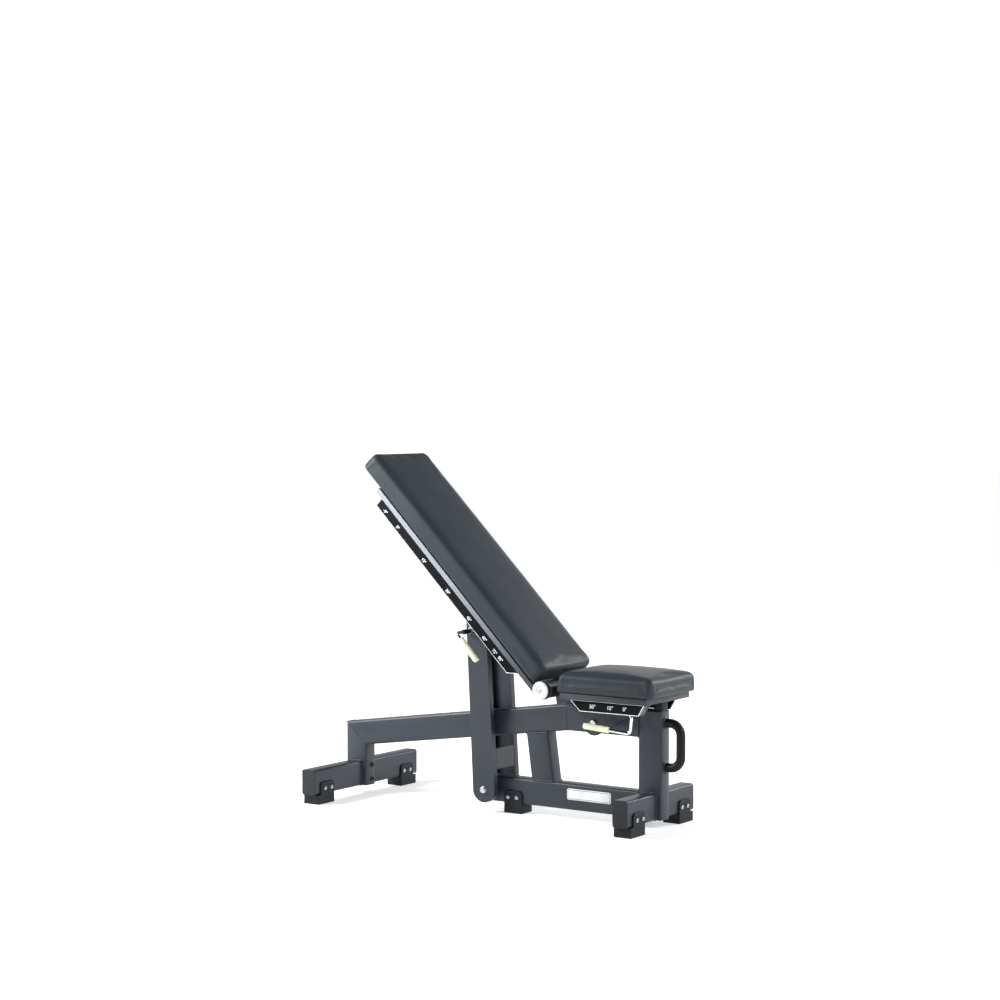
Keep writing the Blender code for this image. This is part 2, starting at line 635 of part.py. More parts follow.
# ---------------------------------------------------------------- the prop, modelled upright on its axle
def add_prop(prop, spacers):
    outline = hull_of_two_circles((0.0, 0.0), PROP_HALF_WIDTH, (0.0, PROP_LENGTH), PROP_TIP_RADIUS, 9)
    holes = [
        circle((0.0, 0.0), AXLE_RADIUS + GAP, 20),
        circle((0.0, PROP_LENGTH), LATCH_PIN_RADIUS + GAP, 20),
        circle((BACK_LEVER_AXIS.x, BACK_LEVER_AXIS.z), LEVER_ROD_RADIUS + GAP, 16),
    ]
    for side_name, sign in SIDES:
        outer = sign * PROP_OUTER_Y
        member = channel(outline, PROP_WALL, outer, outer - sign * PROP_WALL, outer - sign * PROP_FLANGE, holes)
        add_mesh(f"prop_member_{side_name}", member, prop, "frame", smooth=True)
        bore = AXLE_RADIUS + GAP
        rim = 0.014
        inner = TUBE_WIDTH / 2 + GAP
        end = PROP_OUTER_Y - PROP_WALL - GAP
        profile = [(bore, sign * inner), (rim, sign * inner), (rim, sign * end), (bore, sign * end)]
        spacer = turned(profile, (0.0, 0.0), closed=True)
        add_mesh(f"prop_spacer_{side_name}", spacer, spacers, "black_plastic", smooth=True)
        tip = PROP_OUTER_Y + 0.0015
        stub = [(0.0, tip), (LATCH_PIN_RADIUS - 0.001, tip), (LATCH_PIN_RADIUS, tip - 0.001),
                (LATCH_PIN_RADIUS, LATCH_PIN_INNER_Y), (0.0, LATCH_PIN_INNER_Y)]
        stub = [(radius, sign * y) for radius, y in stub]
        pin = turned(stub, (0.0, PROP_LENGTH), closed=False, sides=20)
        add_mesh(f"prop_latch_pin_{side_name}", pin, prop, "zinc", smooth=True)
    inside = PROP_OUTER_Y - PROP_FLANGE - GAP
    tie = add_mesh("prop_cross_plate", block((0.034, -inside, 0.060), (0.039, inside, 0.125)), prop, "frame")
    bevel_object(tie, 0.001, 1)


def add_back_lever(lever):
    """Rod through the prop, turned out to a hand grip; the rod's own axis is the joint's."""
    place = PROP_PIVOT + Matrix.Rotation(-PROP_LEAN, 3, "Y") @ BACK_LEVER_AXIS
    grip_end = Vector((-0.499, -0.140, 0.475)) - place
    grip_y = grip_end.y
    bend = Vector((0.0, grip_y, 0.0))
    grip_start = bend.lerp(grip_end, 0.20)
    path = bent_path([(0.0, -LATCH_PIN_INNER_Y, 0.0), bend, grip_start], 0.010, 4)
    rod("back_lever_rod", path, LEVER_ROD_RADIUS, lever, "chrome")
    outward = (grip_end - grip_start).normalized()
    rod("back_lever_grip", [grip_start + outward * GAP, grip_end], GRIP_RADIUS, lever, "grip", 4)


# ---------------------------------------------------------------- the seat, its strut and its lever
def add_seat(seat):
    """The seat's own frame keeps the bench's directions, with the hinge at the origin."""
    cushion_mesh = block((SEAT_REAR_X, -SEAT_WIDTH / 2, SEAT_UNDER_Z), (SEAT_FRONT_X, SEAT_WIDTH / 2, SEAT_TOP_Z))
    # the rear end leans forward, so it clears the raised back when the seat is tilted up
    for vert in cushion_mesh.verts:
        if vert.co.x < 0:
            vert.co.x = SEAT_REAR_X + (0.0354 if vert.co.z > SEAT_UNDER_Z + 0.001 else 0.0044)
    bmesh.ops.translate(cushion_mesh, vec=-HINGE, verts=cushion_mesh.verts)
    cushion = add_mesh("seat_cushion", cushion_mesh, seat, "leather")
    bevel_object(cushion, 0.020, 4)
    board_top = SEAT_UNDER_Z - GAP
    board_low = board_top - SEAT_BOARD_THICK
    low = Vector((SEAT_BOARD_REAR_X, -SEAT_BOARD_WIDTH / 2, board_low)) - HINGE
    high = Vector((SEAT_BOARD_FRONT_X, SEAT_BOARD_WIDTH / 2, board_top)) - HINGE
    board = add_mesh("seat_board", block(low, high), seat, "board")
    bevel_object(board, 0.002, 2)
    top = board_low - GAP
    tray = [(-0.152, TRAY_LOW_Z), (0.048, TRAY_LOW_Z), (0.068, top), (-0.186, top)]
    tray = [(x - HINGE.x, z - HINGE.z) for x, z in tray]
    arm = [(-0.140, 0.353), (-0.130, top), (-0.2135, top)]
    arm = [(x - HINGE.x, z - HINGE.z) for x, z in arm]
    arm_outline = arc((0.0, 0.0), LUG_RADIUS, -330, -75, 18)
    arm_outline += arm
    hole = circle((0.0, 0.0), HINGE_TUBE_RADIUS + GAP, 32)
    for side_name, sign in SIDES:
        outer = sign * TRAY_OUTER_Y
        rail = channel(tray, 0.003, outer, outer - sign * 0.003, outer - sign * TRAY_DEPTH_Y)
        add_mesh(f"seat_rail_{side_name}", rail, seat, "scale")
        arm_plate = plate([arm_outline, hole], sign * 0.050, sign * 0.058)
        add_mesh(f"seat_arm_{side_name}", arm_plate, seat, "frame", smooth=True)


def add_strut(strut):
    pin = STRUT_PIN - STRUT_PIVOT
    outline = hull_of_two_circles((0.0, 0.0), STRUT_BIG_END, (pin.x, pin.z), STRUT_SMALL_END)
    holes = [circle((0.0, 0.0), STRUT_BOLT_RADIUS + GAP, 20), circle((pin.x, pin.z), STRUT_PIN_RADIUS + GAP, 16)]
    for side_name, sign in SIDES:
        inner = sign * STRUT_INNER_Y
        cheek = plate([outline] + holes, inner, inner + sign * STRUT_THICK)
        add_mesh(f"strut_plate_{side_name}", cheek, strut, "frame", smooth=True)
    reach = 0.099
    profile = [(0.0, -reach), (STRUT_PIN_RADIUS, -reach), (STRUT_PIN_RADIUS, reach), (0.0, reach)]
    add_mesh("strut_pin", turned(profile, (pin.x, pin.z), closed=False, sides=20), strut, "zinc", smooth=True)


def add_seat_lever(lever):
    hub_radius = 0.011
    hub = [(STRUT_PIN_RADIUS + GAP, -0.0610), (hub_radius, -0.0610),
           (hub_radius, -0.0710), (STRUT_PIN_RADIUS + GAP, -0.0710)]
    add_mesh("seat_lever_hub", turned(hub, (0.0, 0.0), closed=True), lever, "zinc", smooth=True)
    elbow = Vector((0.004, -0.067, 0.332)) - STRUT_PIN
    low_bend = Vector((-0.001, -0.068, 0.285)) - STRUT_PIN
    grip_end = Vector((-0.143, -0.100, 0.3025)) - STRUT_PIN
    grip_start = low_bend.lerp(grip_end, 0.45)
    top = Vector((0.0076, -0.066, -0.0088))
    path = bent_path([top, elbow, low_bend, grip_start], 0.010, 5)
    rod("seat_lever_rod", path, LEVER_ROD_RADIUS, lever, "chrome")
    outward = (grip_end - grip_start).normalized()
    rod("seat_lever_grip", [grip_start + outward * GAP, grip_end], GRIP_RADIUS, lever, "grip", 4)


# ---------------------------------------------------------------- assembly
clear_scene()
MATERIALS = {name: make_material(name) for name in COLOURS}

base_body = make_body("bench_base", None, Vector((-CENTRE_X, 0.0, 0.0)))
bush_body = make_body("hinge_bushes", base_body, HINGE, BACK_ANGLE)
back_body = make_body("backrest", bush_body, Vector((0.0, 0.0, 0.0)))
spacer_body = make_body("prop_spacers", base_body, PROP_PIVOT, -PROP_LEAN)
prop_body = make_body("prop", spacer_body, Vector((0.0, 0.0, 0.0)))
back_lever_body = make_body("back_lever", prop_body, BACK_LEVER_AXIS, PROP_LEAN)
seat_body = make_body("seat", base_body, HINGE)
strut_body = make_body("seat_strut", base_body, STRUT_PIVOT)
seat_lever_body = make_body("seat_lever", strut_body, STRUT_PIN - STRUT_PIVOT)

add_frame_tubes(base_body)
add_plugs(base_body)
add_feet(base_body)
add_hinge(base_body)
add_base_details(base_body)
add_back(back_body, bush_body)
add_prop(prop_body, spacer_body)
add_back_lever(back_lever_body)
add_seat(seat_body)
add_strut(strut_body)
add_seat_lever(seat_lever_body)
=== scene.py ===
"""Looks of an adjustable weight bench: cushions, painted tube, welds, fasteners, scales and levers.

The frame is in metres, +Z up, with the origin on the floor under the middle of the bench and +X towards
the seat end.  Positions along the bench are written from the rear face of the front post, as on the part.
"""
import math

import bmesh
import bpy
from mathutils import Matrix, Vector, noise


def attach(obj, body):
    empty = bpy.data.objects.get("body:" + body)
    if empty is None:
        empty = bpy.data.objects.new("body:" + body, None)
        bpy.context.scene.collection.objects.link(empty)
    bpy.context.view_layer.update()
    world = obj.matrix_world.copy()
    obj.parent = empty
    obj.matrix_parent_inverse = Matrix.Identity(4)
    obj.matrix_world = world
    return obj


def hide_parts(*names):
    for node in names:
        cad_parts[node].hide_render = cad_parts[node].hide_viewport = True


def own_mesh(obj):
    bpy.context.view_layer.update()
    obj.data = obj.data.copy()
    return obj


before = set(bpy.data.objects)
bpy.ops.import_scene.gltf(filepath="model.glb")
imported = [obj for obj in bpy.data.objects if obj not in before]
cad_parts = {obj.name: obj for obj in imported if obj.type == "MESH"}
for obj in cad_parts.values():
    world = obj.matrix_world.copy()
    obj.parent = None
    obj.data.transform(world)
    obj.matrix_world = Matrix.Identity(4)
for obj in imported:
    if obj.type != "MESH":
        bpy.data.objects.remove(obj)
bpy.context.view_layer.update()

MID = 0.475                                  # from the front post's rear face to the origin
GAP = 0.0003                                 # clearance the part leaves between faces that meet
TUBE_WIDTH, TUBE_DEPTH = 0.050, 0.080        # section of every frame tube
POST_FRONT_X = MID + 0.040                   # middles of the two posts
POST_REAR_X = MID - 1.055
BEAM_TOP_Z, BEAM_LOW_Z = 0.310, 0.070        # middles of the upper and lower beams at the front post
BRACE_X = MID - 0.3635
RAIL_OUTER = 0.085                           # outer faces of the back's rails and the seat's trays
TRAY_OUTER = 0.107
HINGE = Vector((MID - 0.266, 0.0, 0.402))
PROP = Vector((MID - 0.524, 0.0, 0.071))
STRUT_PIN = Vector((MID - 0.013, 0.0, 0.358))
BACK_ANGLE = math.radians(45.0)
PROP_LEAN = math.radians(3.2)
SLOPE = math.radians(8.0)
KINK_X = MID - 0.2515
BACK = Matrix.Translation(HINGE) @ Matrix.Rotation(BACK_ANGLE, 4, "Y")
PROP_FRAME = Matrix.Translation(PROP) @ Matrix.Rotation(-PROP_LEAN, 4, "Y")
SEAT = Matrix.Translation(HINGE)
X, Y, Z = Vector((1, 0, 0)), Vector((0, 1, 0)), Vector((0, 0, 1))
SIDES = (("near", -1), ("far", 1))


# ---------------------------------------------------------------- materials
def shader_material(name, colour, roughness, metallic=0.0, specular=0.5):
    material = bpy.data.materials.new(name)
    material.use_nodes = True
    tree = material.node_tree
    shader = tree.nodes["Principled BSDF"]
    shader.inputs["Base Color"].default_value = (*colour, 1.0)
    shader.inputs["Roughness"].default_value = roughness
    shader.inputs["Metallic"].default_value = metallic
    shader.inputs["Specular IOR Level"].default_value = specular
    return material, tree, shader


def add_node(tree, kind, **values):
    item = tree.nodes.new(kind)
    for key, value in values.items():
        if key in item.inputs:
            item.inputs[key].default_value = value
        else:
            setattr(item, key, value)
    return item


def noise_texture(tree, scale, detail=4.0):
    coordinates = add_node(tree, "ShaderNodeTexCoord")
    texture = add_node(tree, "ShaderNodeTexNoise")
    texture.inputs["Scale"].default_value = scale
    texture.inputs["Detail"].default_value = detail
    tree.links.new(coordinates.outputs["Object"], texture.inputs["Vector"])
    return texture


def map_range(tree, source, start, end, low, high, target):
    """Map start to end of a value onto low to high, and link it to a socket."""
    ramp = add_node(tree, "ShaderNodeMapRange")
    for socket, value in (("From Min", start), ("From Max", end), ("To Min", low), ("To Max", high)):
        ramp.inputs[socket].default_value = value
    tree.links.new(source, ramp.inputs["Value"])
    tree.links.new(ramp.outputs["Result"], target)


def spread(tree, source, low, high, target):
    """Map the middle of a 0 to 1 texture onto a range and link it to a socket."""
    map_range(tree, source, 0.3, 0.7, low, high, target)


def tint(tree, source, dark, light, shader):
    """Colour a material between two shades by a 0 to 1 texture."""
    ramp = add_node(tree, "ShaderNodeValToRGB")
    ramp.color_ramp.elements[0].position = 0.32
    ramp.color_ramp.elements[1].position = 0.68
    ramp.color_ramp.elements[0].color = (*dark, 1.0)
    ramp.color_ramp.elements[1].color = (*light, 1.0)
    tree.links.new(source, ramp.inputs["Fac"])
    tree.links.new(ramp.outputs["Color"], shader.inputs["Base Color"])


def bump(tree, shader, height, distance, strength, before=None):
    """Bump a material by a texture, on top of an earlier bump if one is given."""
    item = add_node(tree, "ShaderNodeBump")
    item.inputs["Distance"].default_value = distance
    item.inputs["Strength"].default_value = strength
    tree.links.new(height, item.inputs["Height"])
    if before:
        tree.links.new(before.outputs["Normal"], item.inputs["Normal"])
    tree.links.new(item.outputs["Normal"], shader.inputs["Normal"])
    return item


def paint(name, colour, roughness, specular=0.5):
    """Powder coat: a fine orange peel, faint clouding, and roughness that wanders a little."""
    material, tree, shader = shader_material(name, colour, roughness, specular=specular)
    cloud = noise_texture(tree, 9.0, 3.0)
    tint(tree, cloud.outputs["Fac"], [c * 0.92 for c in colour], [c * 1.08 for c in colour], shader)
    peel = noise_texture(tree, 900.0, 2.0)
    spread(tree, peel.outputs["Fac"], roughness - 0.04, roughness + 0.07, shader.inputs["Roughness"])
    bump(tree, shader, peel.outputs["Fac"], 0.0002, 0.35)
    return material


def moulded(name, colour, roughness, grain=500.0, depth=0.0002, specular=0.5):
    """Moulded rubber or plastic with a spark-eroded grain."""
    material, tree, shader = shader_material(name, colour, roughness, specular=specular)
    grains = noise_texture(tree, grain, 3.0)
    cloud = noise_texture(tree, 14.0, 4.0)
    tint(tree, cloud.outputs["Fac"], [c * 0.85 for c in colour], [c * 1.15 for c in colour], shader)
    spread(tree, grains.outputs["Fac"], roughness - 0.05, roughness + 0.08, shader.inputs["Roughness"])
    bump(tree, shader, grains.outputs["Fac"], depth, 0.4)
    return material


def metal(name, colour, roughness):
    """Plated steel with very fine scratches."""
    material, tree, shader = shader_material(name, colour, roughness, metallic=1.0)
    scratches = noise_texture(tree, 300.0)
    spread(tree, scratches.outputs["Fac"], roughness * 0.8, roughness * 1.3, shader.inputs["Roughness"])
    bump(tree, shader, scratches.outputs["Fac"], 0.00005, 0.3)
    return material


def leatherette():
    """Pebbled vinyl: small cells with soft valleys, over slow changes of colour and sheen."""
    colour = (0.035, 0.043, 0.050)
    material, tree, shader = shader_material("leatherette", colour, 0.46, specular=0.13)
    shader.inputs["Sheen Weight"].default_value = 0.03
    shader.inputs["Sheen Roughness"].default_value = 0.4
    cloud = noise_texture(tree, 6.0, 5.0)
    tint(tree, cloud.outputs["Fac"], [c * 0.90 for c in colour], [c * 1.12 for c in colour], shader)
    coordinates = add_node(tree, "ShaderNodeTexCoord")
    cells = add_node(tree, "ShaderNodeTexVoronoi", feature="SMOOTH_F1")
    cells.inputs["Scale"].default_value = 620.0
    cells.inputs["Smoothness"].default_value = 0.6
    tree.links.new(coordinates.outputs["Object"], cells.inputs["Vector"])
    spread(tree, cells.outputs["Distance"], 0.36, 0.50, shader.inputs["Roughness"])
    folds = noise_texture(tree, 55.0, 4.0)
    soft = bump(tree, shader, folds.outputs["Fac"], 0.0015, 0.10)
    bump(tree, shader, cells.outputs["Distance"], 0.0003, 0.30, soft)
    return material


def side_bar_paint_and_shade():
    """Silver paint along the back, with painted shade that darkens it towards the hinge in place of the
    reflection that fades there.
    """
    silver, painted_shade = (0.29, 0.32, 0.36), (0.035, 0.042, 0.050)
    material, tree, shader = shader_material("side_bar_paint", silver, 0.34)
    coordinates = add_node(tree, "ShaderNodeTexCoord")
    split = add_node(tree, "ShaderNodeSeparateXYZ")
    tree.links.new(coordinates.outputs["Object"], split.inputs["Vector"])
    ramp = add_node(tree, "ShaderNodeValToRGB")
    ramp.color_ramp.elements[0].color = (*painted_shade, 1.0)
    ramp.color_ramp.elements[1].color = (*silver, 1.0)
    # painted shade: low on the bar the colour falls from silver to near black, standing in for the reflection
    # that fades towards the hinge
    map_range(tree, split.outputs["Z"], 0.44, 0.72, 0.0, 1.0, ramp.inputs["Fac"])
    tree.links.new(ramp.outputs["Color"], shader.inputs["Base Color"])
    peel = noise_texture(tree, 900.0, 2.0)
    bump(tree, shader, peel.outputs["Fac"], 0.0001, 0.3)
    return material


FRAME_COLOUR = (0.027, 0.034, 0.045)
MAT = {
    "frame": paint("powder_coat", FRAME_COLOUR, 0.38, 0.34),
    "weld": paint("painted_weld", [c * 0.8 for c in FRAME_COLOUR], 0.34, 0.5),
    "scale": paint("scale_black", (0.004, 0.005, 0.007), 0.42, 0.08),
    "plastic": moulded("black_plastic", (0.012, 0.013, 0.016), 0.42, specular=0.35),
    "rubber": moulded("black_rubber", (0.014, 0.016, 0.020), 0.55, 350.0, 0.0004, 0.2),
    "handle": moulded("handle_grip", (0.007, 0.007, 0.008), 0.42, 700.0, 0.0002, 0.20),
    "white": moulded("white_plastic", (0.68, 0.68, 0.69), 0.30, 800.0, 0.0001),
    "label": moulded("label_white", (0.86, 0.86, 0.87), 0.35, 900.0, 0.00005),
    "mark": moulded("white_ink", (0.85, 0.85, 0.85), 0.50, 900.0, 0.00005),
    "lever": moulded("lever_grip", (0.92, 0.95, 0.66), 0.42, 600.0, 0.0002),
    "board": moulded("seat_board", (0.024, 0.029, 0.035), 0.50),
    "chrome": metal("chrome_plate", (0.86, 0.86, 0.88), 0.10),
    "zinc": metal("zinc_plate", (0.55, 0.55, 0.58), 0.32),
    "silver": metal("bright_edge", (0.80, 0.80, 0.82), 0.25),
    "shell": side_bar_paint_and_shade(),
    "leather": leatherette(),
}


# ---------------------------------------------------------------- mesh helpers
def finish_mesh(name, builder, material, body, smooth=35.0, replaces=()):
    mesh = bpy.data.meshes.new(name)
    bmesh.ops.recalc_face_normals(builder, faces=builder.faces)
    builder.to_mesh(mesh)
    builder.free()
    mesh.shade_smooth()
    mesh.set_sharp_from_angle(angle=math.radians(smooth))
    item = bpy.data.objects.new(name, mesh)
    item.data.materials.append(MAT[material])
    bpy.context.collection.objects.link(item)
    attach(item, body)
    if replaces:
        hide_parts(*replaces)
    return item


def round_edges(item, width, segments=2, angle=35.0):
    modifier = item.modifiers.new("edges", "BEVEL")
    modifier.width = width
    modifier.segments = segments
    modifier.limit_method = "ANGLE"
    modifier.angle_limit = math.radians(angle)
    modifier.use_clamp_overlap = True
    modifier.harden_normals = True
    return item


def refine(node, material, body, width=0.0008, segments=2):
    """A CAD node with its flats made whole, its edges rounded and its curved faces shaded smooth."""
    builder = bmesh.new()
    builder.from_mesh(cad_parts[node].data)
    bmesh.ops.remove_doubles(builder, verts=builder.verts, dist=2e-5)
    bmesh.ops.dissolve_limit(builder, angle_limit=math.radians(0.6), verts=builder.verts, edges=builder.edges)
    item = finish_mesh(node + "_skin", builder, material, body, 32.0, (node,))
    return round_edges(item, width, segments, 40.0)


def arc(centre, radius, start, end, steps):
    angles = [math.radians(start + (end - start) * i / steps) for i in range(steps + 1)]
    return [(centre[0] + radius * math.cos(a), centre[1] + radius * math.sin(a)) for a in angles]


def rounded_rectangle(width, height, radius, steps=6):
    a, b = width / 2 - radius, height / 2 - radius
    points = []
    for centre, start in (((a, b), 0), ((-a, b), 90), ((-a, -b), 180), ((a, -b), 270)):
        points += arc(centre, radius, start, start + 90, steps)
    return points


def bridge(builder, ring_a, ring_b):
    count = len(ring_a)
    for i in range(count):
        j = (i + 1) % count
        builder.faces.new((ring_a[i], ring_a[j], ring_b[j], ring_b[i]))


def turned(builder, profile, place, sides=48, warp=None):
    """Turn (radius, height) about place's Z axis; radius 0 closes the end."""
    rings = []
    for level, (radius, height) in enumerate(profile):
        if radius < 1e-9:
            rings.append([builder.verts.new(place @ Vector((0, 0, height)))])
            continue
        ring = []
        for i in range(sides):
            a = 2 * math.pi * i / sides
            r = warp(level, a, radius) if warp else radius
            ring.append(builder.verts.new(place @ Vector((r * math.cos(a), r * math.sin(a), height))))
        rings.append(ring)
    for ring_a, ring_b in zip(rings, rings[1:]):
        if len(ring_a) == 1 or len(ring_b) == 1:
            tip, ring = (ring_a, ring_b) if len(ring_a) == 1 else (ring_b, ring_a)
            for i in range(sides):
                builder.faces.new((tip[0], ring[i], ring[(i + 1) % sides]))
        else:
            bridge(builder, ring_a, ring_b)


def facing(point, direction):
    """A frame at point whose +Z runs along direction."""
    return Matrix.Translation(point) @ direction.to_track_quat("Z", "Y").to_matrix().to_4x4()


def bent_path(corners, bend_radius, steps=10):
    corners = [Vector(corner) for corner in corners]
    points = [corners[0]]
    for before, corner, after in zip(corners, corners[1:], corners[2:]):
        back, ahead = (before - corner).normalized(), (after - corner).normalized()
        half = back.angle(ahead) / 2
        setback = bend_radius / math.tan(half)
        centre = corner + (back + ahead).normalized() * (bend_radius / math.sin(half))
        first = (corner + back * setback - centre).normalized()
        last = (corner + ahead * setback - centre).normalized()
        points += [centre + first.slerp(last, i / steps) * bend_radius for i in range(steps + 1)]
    points.append(corners[-1])
    return points


def sweep(builder, points, radius, sides, closed=False):
    """A round bar along points; radius may be a function of the point's index."""
    points = [Vector(point) for point in points]
    count = len(points)
    across = None
    rings = []
    for i, point in enumerate(points):
        before = points[i - 1] if closed or i else point
        after = points[(i + 1) % count] if closed or i < count - 1 else point
        tangent = (after - before).normalized()
        if across is None:
            across = tangent.orthogonal().normalized()
        across = (across - tangent * across.dot(tangent)).normalized()
        up = tangent.cross(across)
        r = radius(i) if callable(radius) else radius
        ring = [point + (across * math.cos(a) + up * math.sin(a)) * r
                for a in (2 * math.pi * k / sides for k in range(sides))]
        rings.append([builder.verts.new(p) for p in ring])
    for ring_a, ring_b in zip(rings, rings[1:]):
        bridge(builder, ring_a, ring_b)
    if closed:
        bridge(builder, rings[-1], rings[0])
    else:
        builder.faces.new(rings[0])
        builder.faces.new(rings[-1])


def screw(name, point, direction, radius, height, body, material="zinc"):
    """A button head with a hexagon socket."""
    socket_levels = (5, 6)
    step = math.pi / 3

    def hexagon(level, angle, r):
        if level in socket_levels:
            return r * math.cos(step / 2) / math.cos((angle % step) - step / 2)
        return r
    profile = [(0.0, 0.0), (radius, 0.0), (radius, height * 0.35),
               (radius * 0.93, height * 0.72), (radius * 0.72, height),
               (radius * 0.50, height), (radius * 0.48, height * 0.30), (0.0, height * 0.25)]
    builder = bmesh.new()
    turned(builder, profile, facing(point, direction), 24, hexagon)
    return finish_mesh(name, builder, material, body, 40.0)


def weld_bead(name, corners, body, radius=0.0026, pitch=0.0042):
    """A rippled fillet round a closed outline."""
    corners = [Vector(corner) for corner in corners]
    points = []
    for i, start in enumerate(corners):
        end = corners[(i + 1) % len(corners)]
        steps = max(1, int((end - start).length / (pitch / 4)))
        points += [start.lerp(end, k / steps) for k in range(steps)]
    builder = bmesh.new()
    travelled = [0.0]
    for a, b in zip(points, points[1:]):
        travelled.append(travelled[-1] + (b - a).length)

    def ripple(i):
        swell = abs(math.sin(math.pi * travelled[i] / pitch))
        return radius * (0.80 + 0.24 * swell + 0.10 * noise.noise(points[i] * 220))
    sweep(builder, points, ripple, 8, closed=True)
    return finish_mesh(name, builder, "weld", body, 80.0)


def section_loop(centre, side, up, width, height):
    """The outline of a frame tube's section, with its rounded corners."""
    return [centre + side * a + up * b for a, b in rounded_rectangle(width, height, 0.007, 4)]


def lettering(name, words, height, place, body):
    """Flat raised characters, centred on place, reading along its X."""
    data = bpy.data.curves.new(name, "FONT")
    data.body = words
    data.size = height / 0.70                # a figure is about 0.70 of the font size
    data.align_x = "CENTER"
    data.align_y = "CENTER"
    data.extrude = 0.00008
    data.offset = 0.0003                     # a bolder stroke
    source = bpy.data.objects.new(name, data)
    bpy.context.collection.objects.link(source)
    bpy.context.view_layer.update()
    mesh = bpy.data.meshes.new_from_object(source.evaluated_get(bpy.context.evaluated_depsgraph_get()))
    bpy.data.objects.remove(source)
    mesh.transform(place)
    item = bpy.data.objects.new(name, mesh)
    item.data.materials.clear()
    item.data.materials.append(MAT["mark"])
    bpy.context.collection.objects.link(item)
    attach(item, body)
    return item


# ---------------------------------------------------------------- cushions
def pad_start(low, high, corner, top_edge, bottom_edge, lean=0.0):
    """A slab with rounded corners, softly rounded on top; lean tips its far end over."""
    builder = bmesh.new()
    size = Vector(high) - Vector(low)
    middle = (Vector(high) + Vector(low)) / 2
    bmesh.ops.create_cube(builder, size=1.0,
                          matrix=Matrix.Translation(middle) @ Matrix.Diagonal((*size, 1.0)))

    def bevel(test, offset, segments):
        edges = [edge for edge in builder.edges if test(edge)]
        bmesh.ops.bevel(builder, geom=edges, offset=offset, segments=segments, profile=0.5,
                        affect="EDGES", clamp_overlap=True)
    bevel(lambda e: abs((e.verts[0].co - e.verts[1].co).normalized().z) > 0.9, corner, 8)
    bevel(lambda e: min(v.co.z for v in e.verts) > high[2] - 1e-5 and len(e.link_faces) == 2
          and any(abs(f.normal.z) < 0.5 for f in e.link_faces), top_edge, 6)
    bevel(lambda e: max(v.co.z for v in e.verts) < low[2] + 1e-5 and len(e.link_faces) == 2
          and any(abs(f.normal.z) < 0.5 for f in e.link_faces), bottom_edge, 3)
    if lean:
        for vert in builder.verts:
            share = (vert.co.z - low[2]) / size.z
            rear = max(0.0, 1.0 - (vert.co.x - low[0]) / 0.10)
            vert.co.x += lean * share * rear
    return builder


def inflate(mesh, low):
    """Swell a closed mesh as stuffed fabric, its underside held; the change is written to the mesh."""
    voxel, cap, frames = 0.005, 0.0032, 20       # cap is the farthest any point may swell
    item = bpy.data.objects.new("pad_work", mesh)
    bpy.context.collection.objects.link(item)
    remesh = item.modifiers.new("remesh", "REMESH")
    remesh.mode = "VOXEL"
    remesh.voxel_size = voxel
    bpy.context.view_layer.update()
    fine = bpy.data.meshes.new_from_object(item.evaluated_get(bpy.context.evaluated_depsgraph_get()))
    item.modifiers.clear()
    item.data = fine
    start = [vert.co.copy() for vert in fine.vertices]
    held = item.vertex_groups.new(name="held")
    held.add([i for i, co in enumerate(start) if co.z < low + 0.004], 1.0, "REPLACE")
    cloth = item.modifiers.new("stuffing", "CLOTH")
    settings = cloth.settings
    settings.vertex_group_mass = "held"
    settings.use_pressure = True
    settings.uniform_pressure_force = 4.0
    settings.quality = 6
    settings.tension_stiffness = 25
    settings.compression_stiffness = 25
    settings.bending_stiffness = 3.0
    settings.effector_weights.gravity = 0.0
    cloth.point_cache.frame_start = 1
    cloth.point_cache.frame_end = frames
    for step in range(1, frames + 1):
        bpy.context.scene.frame_set(step)
    swollen = item.evaluated_get(bpy.context.evaluated_depsgraph_get()).to_mesh()
    moved = [vert.co.copy() for vert in swollen.vertices]
    for vert, before, after in zip(fine.vertices, start, moved):
        change = after - before
        reach = change.length
        vert.co = before + change * (cap * math.tanh(reach / cap) / reach) if reach > 1e-9 else before
    item.modifiers.clear()
    bpy.data.objects.remove(item)
    bpy.context.scene.frame_set(1)
    return fine


